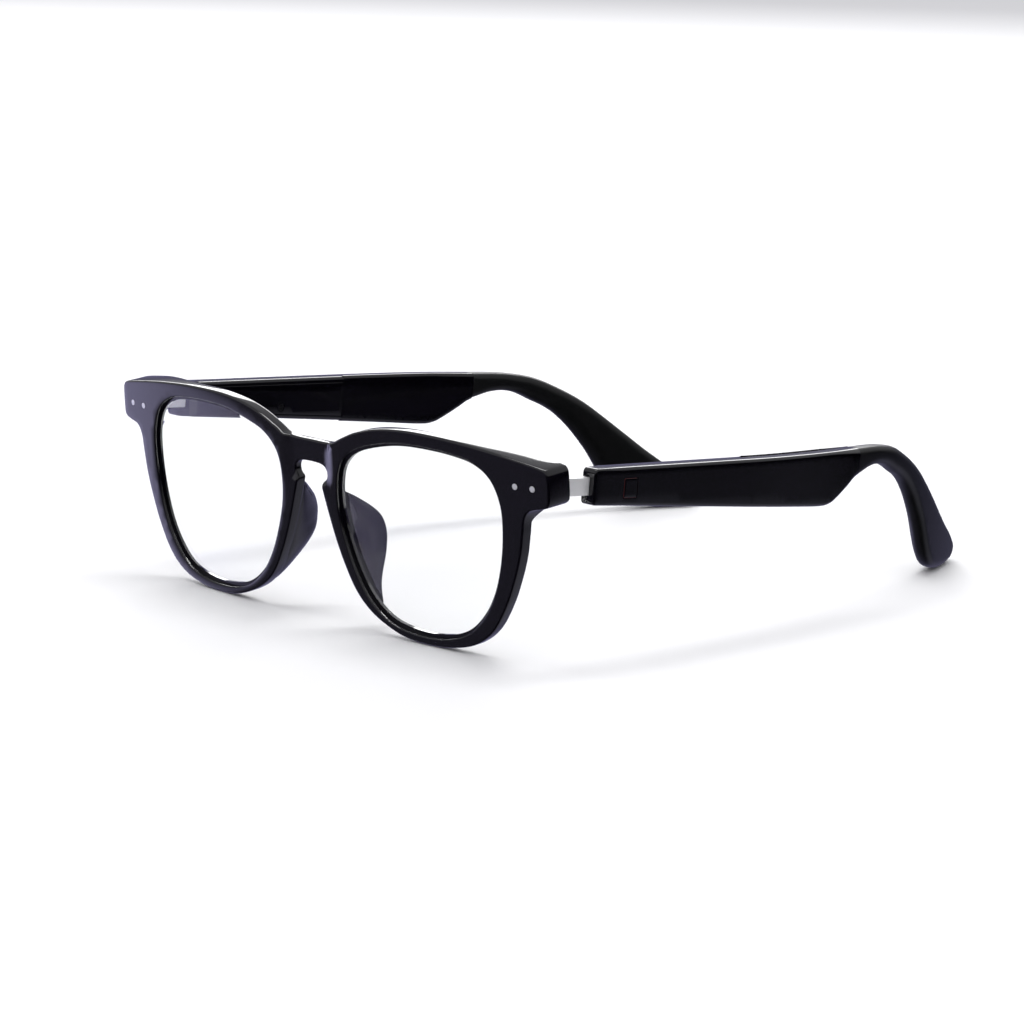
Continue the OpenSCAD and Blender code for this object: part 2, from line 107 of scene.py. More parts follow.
def add_sky():
    """A bright dome above and dark surroundings below, with a pale reflector low on each side."""
    world = bpy.data.worlds.new("studio")
    bpy.context.scene.world = world
    world.use_nodes = True
    tree = world.node_tree
    new, link = tree.nodes.new, tree.links.new
    space = new("ShaderNodeTexCoord")
    lobes = [  # towards, cosine where it starts and is full, colour
        ((0, 0, 1), 0.05, 0.3, (0.5, 0.5, 0.52)),
        ((-0.98, -0.1, -0.2), 0.86, 1.0, (1.1, 1.05, 1.65)),
        ((-0.46, -0.83, -0.32), 0.3, 1.0, (0.13, 0.125, 0.17)),
        ((-0.52, 0.69, -0.50), 0.6, 1.0, (0.26, 0.25, 0.4)),
        ((0.45, 0.60, -0.66), 0.8, 1.0, (0.35, 0.35, 0.42))]
    total = None
    for towards, low, high, colour in lobes:
        dot = new("ShaderNodeVectorMath")
        dot.operation = "DOT_PRODUCT"
        link(space.outputs["Generated"], dot.inputs[0])
        dot.inputs[1].default_value = Vector(towards).normalized()
        ramp = new("ShaderNodeMapRange")
        ramp.interpolation_type = "SMOOTHSTEP"
        ramp.inputs["From Min"].default_value = low
        ramp.inputs["From Max"].default_value = high
        link(dot.outputs["Value"], ramp.inputs["Value"])
        lit = new("ShaderNodeVectorMath")
        lit.operation = "SCALE"
        lit.inputs[0].default_value = colour
        link(ramp.outputs["Result"], lit.inputs["Scale"])
        if total:
            both = new("ShaderNodeVectorMath")
            link(total, both.inputs[0])
            link(lit.outputs["Vector"], both.inputs[1])
            total = both.outputs["Vector"]
        else:
            total = lit.outputs["Vector"]
    sky = tree.nodes["Background"]
    plain = new("ShaderNodeBackground")
    plain.inputs["Color"].default_value = (0.95, 0.95, 0.95, 1)
    rays = new("ShaderNodeLightPath")
    seen = new("ShaderNodeMixShader")
    link(total, sky.inputs["Color"])
    link(rays.outputs["Is Camera Ray"], seen.inputs["Fac"])
    link(sky.outputs["Background"], seen.inputs[1])
    link(plain.outputs["Background"], seen.inputs[2])
    link(seen.outputs["Shader"], tree.nodes["World Output"].inputs["Surface"])


bpy.context.scene.view_settings.view_transform = "Standard"
add_floor()
add_sky()
add_panel("top_panel", (-0.25, 0.1, 1.6), (0, 0, 0), (1.5, 0.35), 7)
add_panel("rear_panel", (-1.15, 1.05, 0.75), (0, 0, 0.03), (1.3, 0.5), 5)
add_panel("fill_panel", (0, 0, 2.2), (0, 0, 0), (4, 4), 0.45, mirrored=False)
add_camera()


# ---------------------------------------------------------------------------
# Front frame. One piece of injection-moulded plastic, tumbled and polished, wrapped round the
# face, with soft edges, a recessed keyhole bridge, thick end pieces and a groove for each lens.
# ---------------------------------------------------------------------------
LEAN = radians(6.0)                   # the glasses rest on rims and tips, with the top leaning forward
REST = np.array([0, -88.1, 39.73])    # the front's own origin in the resting frame, in mm
WRAP_R = 441.0
RIM_D, END_D = 3.3, 7.0               # depth of the rims and of the end pieces
BRIDGE_RECESS = 0.9
GROOVE = (1.2, 2.8)                   # front and back of the lens groove, behind the front face
GROOVE_D = 0.8
RIVET_X, RIVET_R = (62.35, 67.0), 0.7  # places of the two rivets on one side
PLATE_X, PLATE_T, PLATE_H = (60.9, 70.0), 1.2, 3.9
PLAY = 0.05                           # gap between a seat and what lies in it
EDGE_R = (0.6, 0.8)                   # rounding of the outer edge, front and back
POINT_STEP = 0.45                     # spacing of the points along the front's outlines
CREASE = radians(38)                  # sharper edges than this are shaded as edges

FRONT_HALF = [
    (0, 2), (5, 2), (8, 2.4), (11.5, 4.1), (16, 6), (22, 7.6), (29, 8.4), (36, 8.5), (45, 8.1),
    (55, 7.1), (64, 5.8), (69.4, 4.8), (70.8, 4), (71.2, 2.4), (71.2, -2.4), (70.6, -3.8),
    (69, -4.4), (65.8, -5.2), (64.3, -7.3), (63.7, -10.9), (62.8, -16), (61.1, -21.5),
    (58.4, -27.9), (54.5, -34), (49.2, -37.9), (42.5, -39.7), (35.5, -40.1), (28.5, -39.5),
    (22.5, -37.5), (17.5, -34.7), (13.6, -30.8), (10.4, -25.3), (7.9, -19.6), (5.8, -13.6),
    (4.5, -9.4), (4.1, -7.6), (5, -6.6), (5.3, -5.4), (4.7, -4.1), (3.1, -3.4), (0, -3.2)]
LENS_OPENING = [
    (38, 5.5), (30, 5.4), (23, 4.3), (16, 2.2), (12, -0.5), (9.9, -4), (9.2, -9), (9.7, -14.5),
    (11.6, -20.8), (14.4, -27), (18.4, -32.6), (24.3, -36.6), (32, -38.2), (40, -38), (46.8, -36),
    (51.7, -31.8), (55.2, -26), (57.4, -18.5), (58.3, -11), (57.9, -4.7), (55.4, 0.6),
    (50.6, 3.8), (45, 5)]


def smooth_step(value, low, high):
    u = np.clip((value - low) / (high - low), 0, 1)
    return u * u * (3 - 2 * u)


def curve_through(points, closed, steps=16):
    """Fine points on the smooth curve through the given points."""
    p = np.array(points, float)
    if closed:
        p = np.concatenate([p[-1:], p, p[:2]])
    else:
        p = np.concatenate([2 * p[:1] - p[1:2], p, 2 * p[-1:] - p[-2:-1]])
    u = np.arange(steps)[:, None] / steps
    rows = [0.5 * (2 * b + (c - a) * u + (2 * a - 5 * b + 4 * c - d) * u ** 2
                   + (3 * b - a - 3 * c + d) * u ** 3)
            for a, b, c, d in zip(p, p[1:], p[2:], p[3:])]
    curve = np.concatenate(rows)
    return curve if closed else np.concatenate([curve, p[-2:-1]])


def even_loop(loop, spacing):
    """The closed loop with its points spaced evenly."""
    closed = np.concatenate([loop, loop[:1]])
    run = np.concatenate([[0], np.cumsum(np.linalg.norm(np.diff(closed, axis=0), axis=1))])
    count = max(int(round(run[-1] / spacing)), 12)
    at = np.linspace(0, run[-1], count, endpoint=False)
    return np.stack([np.interp(at, run, closed[:, k]) for k in range(closed.shape[1])], 1)


def soften(values, passes):
    for _ in range(passes):
        values = (np.roll(values, 1, 0) + 2 * values + np.roll(values, -1, 0)) / 4
    return values


def loop_area(loop):
    x, y = loop.T
    return 0.5 * np.sum(x * np.roll(y, -1) - y * np.roll(x, -1))


def inward(loop):
    """Unit normals of a loop, to the left of its direction, and how far each may be followed."""
    ahead, behind = np.roll(loop, -1, 0), np.roll(loop, 1, 0)
    run = ahead - behind
    length = np.linalg.norm(run, axis=1)
    tangent = run / length[:, None]
    normal = soften(np.stack([-tangent[:, 1], tangent[:, 0]], 1), 2)
    normal /= np.linalg.norm(normal, axis=1)[:, None]
    bend = ahead + behind - 2 * loop
    curving = np.sum(bend * normal, 1) / (length / 2) ** 2
    reach = np.where(curving > 0, 0.75 / np.maximum(curving, 1e-6), 9.0)
    return normal, soften(np.minimum(reach, 9.0), 3)


def inside(points, loop):
    """True for each point that lies inside the closed loop."""
    x, y = points[:, 0:1], points[:, 1:2]
    x0, y0 = loop[:, 0][None], loop[:, 1][None]
    x1, y1 = np.roll(x0, -1, 1), np.roll(y0, -1, 1)
    crosses = ((y0 > y) != (y1 > y)) & (x < (x1 - x0) * (y - y0) / (y1 - y0 + 1e-12) + x0)
    return crosses.sum(1) % 2 == 1


def round_edge(radius, steps=5):
    """(inset, depth) pairs of a rounded edge, from the face to the wall."""
    angles = np.linspace(0, pi / 2, steps + 1)
    return [(radius * (1 - sin(a)), radius * (1 - cos(a))) for a in angles]


def slab(name, loops, profiles, place, spacing=1.5):
    """Closed plate from an outline and its holes, with a profiled edge round each.

    loops[0] is the outline and the others are holes. profiles[i] maps (place on the loop, front or
    back) to the edge's (inset, depth) pairs from the face to the wall. place(uv, depth, back) gives
    the points in mm.
    """
    points, faces, face_rings = [], [], {0: [], 1: []}
    count = 0
    for number, (loop, profile) in enumerate(zip(loops, profiles)):
        if (loop_area(loop) > 0) != (number == 0):
            loop = loop[::-1]
        normal, reach = inward(loop)
        size = len(loop)
        rings = []
        for back in (0, 1):
            side = []
            for inset, depth in profile(loop, back):
                uv = loop + normal * np.minimum(inset, reach)[:, None]
                side.append((uv, np.broadcast_to(depth, (size,)), back))
            rings += side if back == 0 else side[::-1]
            face_rings[back].append((count + (0 if back == 0 else (len(rings) - 1) * size), side[0][0]))
        for uv, depth, back in rings:
            points.append(place(uv, depth, back))
        for k in range(len(rings) - 1):
            a = count + k * size
            for i in range(size):
                j = (i + 1) % size
                faces.append((a + i, a + j, a + size + j, a + size + i))
        count += len(rings) * size
    for back in (0, 1):
        starts = [s for s, _ in face_rings[back]]
        rims = [uv for _, uv in face_rings[back]]
        low, high = rims[0].min(0), rims[0].max(0)
        grid = np.stack(np.meshgrid(np.arange(low[0], high[0], spacing),
                                    np.arange(low[1], high[1], spacing)), -1).reshape(-1, 2)
        keep = inside(grid, rims[0])
        for hole in rims[1:]:
            keep &= ~inside(grid, hole)
        grid = grid[keep]
        borders = np.concatenate(rims)
        near = np.array([np.min(np.sum((borders - g) ** 2, 1)) for g in grid]) if len(grid) else []
        grid = grid[np.array(near) > (0.45 * spacing) ** 2] if len(grid) else grid
        flat = np.concatenate([borders, grid])
        ids, edges, offset = [], [], 0
        for start, uv in zip(starts, rims):
            size = len(uv)
            ids += list(range(start, start + size))
            edges += [(offset + i, offset + (i + 1) % size) for i in range(size)]
            offset += size
        ids += list(range(count, count + len(grid)))
        if len(grid):
            points.append(place(grid, np.zeros(len(grid)), back))
        count += len(grid)
        verts, _, tris, origins, _, _ = delaunay_2d_cdt([Vector(p) for p in flat], edges, [], 0, 1e-6)
        if len(verts) != len(flat):
            raise ValueError(f"{name}: the outline crosses itself ({len(flat)} to {len(verts)} points)")
        verts = np.array([tuple(v) for v in verts])
        back_to = [o[0] for o in origins]
        centres = np.array([verts[list(t)].mean(0) for t in tris])
        keep = inside(centres, rims[0])
        for hole in rims[1:]:
            keep &= ~inside(centres, hole)
        for t in np.array([list(t) for t in tris])[keep]:
            a, b, c = (ids[back_to[i]] for i in t)
            faces.append((a, b, c) if back == 0 else (a, c, b))
    mesh = bpy.data.meshes.new(name)
    mesh.from_pydata((np.concatenate(points) / 1000).tolist(), [], faces)
    close(mesh)
    return mesh


def close(mesh, merge=1e-7):
    """Merges doubles, turns the faces outwards and shades them smoothly."""
    shape = bmesh.new()
    shape.from_mesh(mesh)
    bmesh.ops.remove_doubles(shape, verts=shape.verts, dist=merge)
    bmesh.ops.dissolve_degenerate(shape, edges=shape.edges, dist=1e-8)
    bmesh.ops.recalc_face_normals(shape, faces=shape.faces)
    if shape.calc_volume(signed=True) < 0:
        bmesh.ops.reverse_faces(shape, faces=shape.faces)
    shape.to_mesh(mesh)
    shape.free()
    mesh.shade_smooth()


def lean(points):
    """Points of the front's own frame, in mm, as the glasses rest."""
    p = np.asarray(points, float)
    x, y, z = p[..., 0], p[..., 1], p[..., 2]
    return np.stack([x, y * cos(LEAN) - z * sin(LEAN), y * sin(LEAN) + z * cos(LEAN)], -1) + REST


def wrap(x, depth):
    """How far back the front lies at x and this far behind its face."""
    return WRAP_R - np.sqrt((WRAP_R - depth) ** 2 - x ** 2)


def front_recess(x, z):
    return (BRIDGE_RECESS * (1 - smooth_step(np.abs(x), 6.3, 7.7)) * smooth_step(z, -8.6, -6.8))


def front_depth(x, z):
    """Depth of the front's back face: deep at the end pieces, slimmer elsewhere."""
    start = 58.4 - 20 * smooth_step(z, 2, 6)
    return RIM_D + (END_D - RIM_D) * smooth_step(np.abs(x), start, 62.5) * smooth_step(z, -8.5, -5.0)


def place_front(uv, depth, back):
    x, z = uv.T
    depth = front_depth(x, z) - depth if back else front_recess(x, z) + depth
    return lean(np.stack([x, wrap(x, depth), z], 1))


def front_outline():
    half = curve_through(FRONT_HALF, closed=False)
    left = half[-2:0:-1] * (-1, 1)
    return even_loop(np.concatenate([half, left]), POINT_STEP)


def even_edge(front, back, steps=5):
    """The profile of an edge that is rounded the same all the way round."""
    return lambda loop, at_back: round_edge(back if at_back else front, steps)


def opening_profile(loop, back):
    if back:
        rise = np.maximum(front_depth(*loop.T) - GROOVE[1] - 0.35, 0.05)
        return [(i, np.minimum(d, rise)) for i, d in round_edge(0.5, 4)]
    return round_edge(0.35, 4) + [(0, GROOVE[0]), (-GROOVE_D, GROOVE[0] + 0.03),
                                  (-GROOVE_D, GROOVE[1] - 0.03), (0, GROOVE[1])]


def plate_recess(sign):
    """The block cut from the back of an end piece for the hinge's plate."""
    x = np.linspace(PLATE_X[0] - PLAY, PLATE_X[1] + PLAY, 13) * sign
    points, faces = [], []
    for depth in (END_D - PLATE_T - PLAY, END_D + 2):
        for z in (-PLATE_H / 2 - PLAY, PLATE_H / 2 + PLAY):
            points.append(lean(np.stack([x, wrap(x, depth), np.full(13, z)], 1)))
    for a, b in ((0, 1), (1, 3), (3, 2), (2, 0)):
        faces += [(13 * a + k, 13 * a + k + 1, 13 * b + k + 1, 13 * b + k) for k in range(12)]
    faces += [(0, 13, 39, 26), (12, 25, 51, 38)]
    mesh = bpy.data.meshes.new("recess")
    mesh.from_pydata((np.concatenate(points) / 1000).tolist(), [], faces)
    close(mesh)
    return mesh


def loft(name, points, around):
    """Closed mesh through rings of this many points each, in metres, with a flat face at each end."""
    last = len(points) - around
    faces = [(k + i, k + (i + 1) % around, k + around + (i + 1) % around, k + around + i)
             for k in range(0, last, around) for i in range(around)]
    faces += [tuple(range(around)), tuple(range(last, last + around))]
    mesh = bpy.data.meshes.new(name)
    mesh.from_pydata(points, [], faces)
    close(mesh)
    return mesh


def turned(profile, origin, axis, sides=32):
    """Closed solid of revolution: profile holds (radius, distance along the axis), in mm."""
    axis = Vector(axis).normalized()
    first = axis.orthogonal().normalized()
    second = axis.cross(first)
    rows = []
    for radius, along in profile:
        for k in range(sides):
            angle = tau * k / sides
            rows.append(Vector(origin) + axis * along
                        + (first * cos(angle) + second * sin(angle)) * radius)
    return loft("turned", [tuple(v / 1000) for v in rows], sides)


def solid_op(mesh, others, operation="DIFFERENCE"):
    """mesh with the other meshes cut from it, or joined to it."""
    main = add_object("main", mesh)
    made = [main]
    for other in others:
        tool = add_object("tool", other)
        made.append(tool)
        step = main.modifiers.new("step", "BOOLEAN")
        step.operation = operation
        step.solver = "EXACT"
        step.object = tool
    bpy.context.view_layer.update()
    result = bpy.data.meshes.new_from_object(main.evaluated_get(bpy.context.evaluated_depsgraph_get()))
    for thing in made:
        bpy.data.objects.remove(thing)
    return result


def rivet_line(x, sign):
    """Where a rivet meets the front's face, and the way it points, out of the face."""
    place = lean([sign * x, wrap(x, 0), 0])
    return place, lean([sign * x / WRAP_R, -wrap_slope(x), 0]) - REST


def wrap_slope(x):
    return cos(np.arcsin(x / WRAP_R))


def add_noise(material, scale, detail, stretch=(1, 1, 1)):
    """The factor of a noise of this scale, per metre, that is fixed to the piece."""
    new, link = material.node_tree.nodes.new, material.node_tree.links.new
    space = new("ShaderNodeTexCoord")
    lie = new("ShaderNodeMapping")
    lie.inputs["Scale"].default_value = stretch
    noise = new("ShaderNodeTexNoise")
    noise.inputs["Scale"].default_value = scale
    noise.inputs["Detail"].default_value = detail
    link(space.outputs["Object"], lie.inputs["Vector"])
    link(lie.outputs["Vector"], noise.inputs["Vector"])
    return noise.outputs["Fac"]


def vary_colour(material, factor, first, second):
    """Runs the colour from the first to the second with this factor."""
    tree = material.node_tree
    tint = tree.nodes.new("ShaderNodeMix")
    tint.data_type = "RGBA"
    tint.inputs["A"].default_value = (*first, 1)
    tint.inputs["B"].default_value = (*second, 1)
    tree.links.new(factor, tint.inputs["Factor"])
    tree.links.new(tint.outputs["Result"], tree.nodes["Principled BSDF"].inputs["Base Color"])


def vary_roughness(material, factor, low, high, start=0.0):
    """Runs the roughness from low to high while the factor runs from start to 1."""
    tree = material.node_tree
    rough = tree.nodes.new("ShaderNodeMapRange")
    rough.inputs["From Min"].default_value = start
    rough.inputs["To Min"].default_value = low
    rough.inputs["To Max"].default_value = high
    tree.links.new(factor, rough.inputs["Value"])
    tree.links.new(rough.outputs["Result"], tree.nodes["Principled BSDF"].inputs["Roughness"])


def add_relief(material, height, strength):
    """A relief a tenth of a millimetre high, at this strength."""
    tree = material.node_tree
    relief = tree.nodes.new("ShaderNodeBump")
    relief.inputs["Strength"].default_value = strength
    relief.inputs["Distance"].default_value = 0.0001
    tree.links.new(height, relief.inputs["Height"])
    tree.links.new(relief.outputs["Normal"], tree.nodes["Principled BSDF"].inputs["Normal"])


def gloss_black(name, colour, roughness):
    """Polished black plastic: faint depth below the surface, very fine ripple and polish marks."""
    material = plain_material(name, colour, roughness, IOR=1.49, Coat_Weight=0.35,
                              Coat_Roughness=0.02)
    deeper = (colour[0] * 1.7, colour[1] * 1.5, colour[2] * 2.0)
    vary_colour(material, add_noise(material, 90, 3), colour, deeper)
    vary_roughness(material, add_noise(material, 700, 5), roughness * 0.6, roughness * 1.5)
    add_relief(material, add_noise(material, 260, 2), 0.02)
    return material


def finish_piece(name, mesh, material, body, nodes):
    """Puts a finished mesh in the scene, in place of its CAD nodes, on its body."""
    mesh.materials.clear()
    mesh.materials.append(material)
    piece = add_object(name, mesh)
    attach(piece, body)
    if nodes:
        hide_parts(*nodes)
    return piece


frame_gloss = gloss_black("frame_gloss", (0.0018, 0.0016, 0.0026), 0.07)
lens_loop = even_loop(curve_through(LENS_OPENING, closed=True), POINT_STEP)
front_mesh = slab("front", [front_outline(), lens_loop, lens_loop * (-1, 1)],
                  [even_edge(*EDGE_R), opening_profile, opening_profile], place_front)
seats = []
for side, sign in SIDES:
    seats.append(plate_recess(sign))
    for x in RIVET_X:
        place, out = rivet_line(x, sign)
        seats.append(turned([(RIVET_R + 0.02, -END_D - 1), (RIVET_R + 0.02, 1)], place, out, 40))
front_mesh = solid_op(front_mesh, seats)
front_mesh.set_sharp_from_angle(angle=CREASE)
finish_piece("front", front_mesh, frame_gloss, "front", ["front_frame"])


# ---------------------------------------------------------------------------
# Lenses. Cut from coated clear resin sheet and pressed into the grooves of the front: they mirror a
# faint violet. Their ground edges are painted amber: a painted glow standing for the light carried
# through the lens, which shows as an amber line inside the rims.
# ---------------------------------------------------------------------------
LENS_GAP = 0.05                       # play in the groove


def place_lens(uv, depth, back):
    x, z = uv.T
    depth = GROOVE[1] - LENS_GAP - depth if back else GROOVE[0] + LENS_GAP + depth
    return lean(np.stack([x, wrap(x, depth), z], 1))


def coated_resin(name):
    """Clear resin with a violet anti-reflection coat and the faintest wiping haze."""
    material = plain_material(name, (0.975, 0.98, 1.0), 0.0, IOR=1.5, Transmission_Weight=1.0,
                              Specular_Tint=(0.62, 0.55, 1.0, 1.0))
    vary_roughness(material, add_noise(material, 60, 4), 0.0, 0.03, 0.45)
    return material


def grained(name, colour, roughness, scale, shift=0.25, bump=0.0, stretch=(1, 1, 1), detail=4,
            **sockets):
    """A finish whose colour and roughness vary with a grain of this scale, per metre."""
    material = plain_material(name, colour, roughness, **sockets)
    grain = add_noise(material, scale, detail, stretch)
    vary_colour(material, grain, [c * (1 - shift) for c in colour],
                [min(c * (1 + shift), 1) for c in colour])
    vary_roughness(material, grain, roughness * 0.7, min(roughness * 1.3, 1))
    if bump:
        add_relief(material, grain, bump)
    return material


lens_resin = coated_resin("lens_resin")
# The amber of the lens edges is painted light, a painted glow for light carried through the clear resin,
# whose own tint is a faint blue.
lens_edge = grained("lens_edge", (0.20, 0.15, 0.035), 0.35, 900, IOR=1.5)
ground_edge = even_edge(0.25, 0.25, 3)
for side, sign in SIDES:
    loop = lens_loop * (sign, 1)
    if loop_area(loop) < 0:
        loop = loop[::-1]
    normal, _ = inward(loop)
    mesh = slab("lens_" + side, [loop - normal * (GROOVE_D - LENS_GAP)], [ground_edge], place_lens)
    lens = finish_piece("lens_" + side, mesh, lens_resin, "front", ["lens_" + side])
    lens.data.materials.append(lens_edge)
    ahead = np.array(lean([0, -1, 0]) - REST)
    # the faces round the lens's edge, across the front, take the painted amber glow
    for face in lens.data.polygons:
        if abs(np.dot(face.normal, ahead)) < 0.5:
            face.material_index = 1


# ---------------------------------------------------------------------------
# Nose pads. Soft-cornered saddles moulded in the front's own plastic and bonded along the nose
# side of each rim, sweeping back and outwards so that they lie along the side of the nose.
# ---------------------------------------------------------------------------
PAD_ROOT = [(5.7, 1.5, -8.4), (6.6, 1.4, -12), (7.9, 1.4, -16.5), (9.8, 1.4, -21.5),
            (12.5, 1.5, -26.8), (16.0, 1.6, -31.6), (20.2, 1.9, -35.4)]
PAD_REAR = [(6.6, 4.6, -8.8), (8.9, 7.6, -11.4), (11.1, 11.4, -15.4), (12.0, 12.6, -19.4),
            (12.8, 11.6, -24.2), (15.8, 7.2, -30.2), (20.4, 4.2, -35.6)]
PAD_T = (2.9, 1.5)                    # thickness at the root and at the rear edge


def pad_mesh(sign):
    root = curve_through(PAD_ROOT, closed=False, steps=12)
    rear = curve_through(PAD_REAR, closed=False, steps=12)
    count, around = len(root), 28
    angles = np.arange(around) * tau / around
    points = []
    for k in range(count):
        t = k / (count - 1)
        end = (1 - abs(2 * t - 1) ** 5) ** 0.5
        chord = rear[k] - root[k]
        along = root[min(k + 1, count - 1)] - root[max(k - 1, 0)]
        across = np.cross(along, chord)
        across /= np.linalg.norm(across)
        middle = (root[k] + rear[k]) / 2
        u = np.sign(np.cos(angles)) * np.abs(np.cos(angles)) ** 0.6
        w = np.sign(np.sin(angles)) * np.abs(np.sin(angles)) ** 0.75
        thick = PAD_T[0] + (PAD_T[1] - PAD_T[0]) * (u + 1) / 2
        belly = 0.5 * (1 - u ** 2) * end
        ring = (middle + np.outer(u * (0.5 * end + 0.02), chord)
                + np.outer(w * thick / 2 * max(end, 0.05) + belly, -across))
        points.append(ring)
    return loft("nose_pad", (lean(np.concatenate(points) * (sign, 1, 1)) / 1000).tolist(), around)


for side, sign in SIDES:
    finish_piece("nose_pad_" + side, pad_mesh(sign), frame_gloss, "front", ["nose_pad_" + side])


# ---------------------------------------------------------------------------
# Temple shells. Moulded gloss plastic, hollow for the electronics, open on the inner side, with
# a fork at the front for the hinge, a window for the key and a mesh slot in the lower edge.
# ---------------------------------------------------------------------------
DROP = radians(9.75)                  # fall of the temples from the hinge, in the front's own frame
PIN_S, PIN_AT = 2.2, np.array([68.5, 22.9, 1.4])
X_OUT, X_IN = 2.6, -2.4               # outer and inner face from the hinge pin's plane
WALL, COVER_T = 1.1, 1.0
X_WALL, X_COVER = X_OUT - WALL, X_IN + COVER_T
BEND_S, CURVE_R = 50.0, 240.0
TIP_S, SPLIT_S, CAVITY_END = 93.0, 51.8, 82.0
COVER_STEP, COVER_FADE = 0.2, 12.0
LOW_CORNER, LOW_SLOPE = 8.1, 0.054
POCKET_Z = (-6.1, -2.0)
KEY_S, KEY_Z, KEY_W, KEY_H = 9.5, -2.4, 4.2, 4.4
SLOT_S, MIC_S, CONTACT_S, CONTACT_Z = (36.0, 44.0), 27.5, (10.5, 14.5), -3.4
COVER_SCREW = (31.5, -6.9)
TEMPLE_REAR = [
    (60, 0.2), (90, 0.4), (101, 0.4), (108.5, -0.1), (113, -1), (117, -2.4), (122, -4.5),
    (127, -7.1), (132, -10.4), (138, -14.6), (144, -18.9), (150, -22.9), (156, -27.1),
    (158.4, -29.5), (157, -32.2), (152, -33.5), (148.5, -34), (144, -33.6), (140, -32.5),
    (136.6, -29.9), (133.6, -26.3), (131.5, -23.1), (129.2, -19.8), (126.4, -16.5),
    (123.3, -13.3), (119.5, -10.2), (116, -8.2), (112.5, -6.8), (109, -5.3), (106, -4.4),
    (102.5, -4.05), (99, -4.4), (95.5, -5.4), (92, -6.6), (89.5, -8.1), (87, -9.5), (84.5, -10.8),
    (82, -11.8), (78, -12.2), (66, -11.6)]


def low_edge(s):
    return -LOW_CORNER - LOW_SLOPE * (s - 1)


def arc(cx, cy, r, start, end, steps=6):
    angles = np.radians(np.linspace(start, end, steps + 1))
    return np.stack([cx + r * np.cos(angles), cy + r * np.sin(angles)], 1)


def temple_outline(step=0.5):
    outline = np.concatenate([arc(1, -LOW_CORNER + 1, 1, 270, 180), arc(1, -1, 1, 180, 90),
                              curve_through(TEMPLE_REAR, closed=False)])
    return even_loop(outline, step)


def temple_radius(s):
    """Radius of the temple's long edges: crisp on the shell, nearly round at the tip."""
    return (0.85 + 0.75 * smooth_step(s, 80, 96) + 0.7 * smooth_step(s, 100, 116)
            - 0.3 * (1 - smooth_step(s, 2, 10)) - 1.0 * smooth_step(s, 148, 156))


def temple_profile(loop, back):
    return round_edge(temple_radius(loop[:, 0]), 6)


def flat_temple(outer, inner=X_IN):
    """Places a flat piece between two faces of a temple that isn't bent yet."""
    def place(uv, depth, back):
        x = inner + depth if back else outer - depth
        return np.stack([np.broadcast_to(x, (len(uv),)), uv[:, 0], uv[:, 1]], 1)
    return place


def block(low, high):
    """Closed block between two matching outlines, in mm."""
    size = len(low)
    faces = [tuple(range(size)), tuple(range(2 * size - 1, size - 1, -1))]
    faces += [(i, (i + 1) % size, size + (i + 1) % size, size + i) for i in range(size)]
    mesh = bpy.data.meshes.new("block")
    mesh.from_pydata((np.concatenate([low, high]) / 1000).tolist(), [], faces)
    close(mesh)
    return mesh


def prism(outline, x0, x1, round_by=0.0):
    """Closed block from a side outline of a temple, between two distances from the pin's plane."""
    loop = np.array(outline, float)
    if round_by:
        loop = rounded(loop, round_by)
    return block(np.insert(loop, 0, x0, axis=1), np.insert(loop, 0, x1, axis=1))


def rounded(loop, radius, steps=4):
    """The loop with its corners rounded."""
    points = []
    for before, corner, after in zip(np.roll(loop, 1, 0), loop, np.roll(loop, -1, 0)):
        a, b = before - corner, after - corner
        a, b = corner + a / np.linalg.norm(a) * radius, corner + b / np.linalg.norm(b) * radius
        for u in np.linspace(0, 1, steps + 1):
            points.append((1 - u) ** 2 * a + 2 * u * (1 - u) * corner + u ** 2 * b)
    return np.array(points)


def rect(s0, s1, z0, z1):
    return np.array([(s0, z0), (s1, z0), (s1, z1), (s0, z1)], float)


def cut_at(mesh, axis, place, keep):
    """The part of mesh on the keep side (-1 or 1) of a plane across an axis at this place in mm."""
    normal = Vector([keep if k == axis else 0 for k in range(3)])
    shape = bmesh.new()
    shape.from_mesh(mesh)
    cut = bmesh.ops.bisect_plane(
        shape, geom=shape.verts[:] + shape.edges[:] + shape.faces[:], dist=1e-8,
        plane_co=Vector([place / 1000 if k == axis else 0 for k in range(3)]), plane_no=normal,
        clear_inner=True)
    edges = [e for e in cut["geom_cut"] if isinstance(e, bmesh.types.BMEdge)]
    bmesh.ops.contextual_create(shape, geom=edges)
    result = bpy.data.meshes.new("part")
    shape.to_mesh(result)
    shape.free()
    return result


def bend_and_place(mesh, sign, name):
    """The flat temple piece bent to the temple's curve, carried to its hinge and to its side."""
    shape = bmesh.new()
    shape.from_mesh(mesh)
    for s in np.arange(BEND_S + 2, 158, 2.5):
        bmesh.ops.bisect_plane(shape, geom=shape.verts[:] + shape.edges[:] + shape.faces[:],
                               dist=1e-8, plane_co=(0, s / 1000, 0), plane_no=(0, 1, 0))
    bmesh.ops.triangulate(shape, faces=[f for f in shape.faces if len(f.verts) > 4])
    result = bpy.data.meshes.new(name)
    shape.to_mesh(result)
    shape.free()
    flat = np.zeros(len(result.vertices) * 3)
    result.vertices.foreach_get("co", flat)
    rest = at_temple(flat.reshape(-1, 3) * 1000, sign) / 1000
    result.vertices.foreach_set("co", rest.ravel())
    close(result)
    result.set_sharp_from_angle(angle=CREASE)
    return result


def at_temple(points, sign):
    """Where points of the flat temple lie at rest, in mm."""
    p = np.asarray(points, float)
    x, s, z = p[..., 0], p[..., 1], p[..., 2]
    run = np.maximum(s - BEND_S, 0)
    x = X_OUT - CURVE_R + np.sqrt((CURVE_R - X_OUT + x) ** 2 - run ** 2)
    s = s - PIN_S
    front = np.stack([x, s * cos(DROP) + z * sin(DROP), -s * sin(DROP) + z * cos(DROP)], -1) + PIN_AT
    return lean(front * (sign, 1, 1))


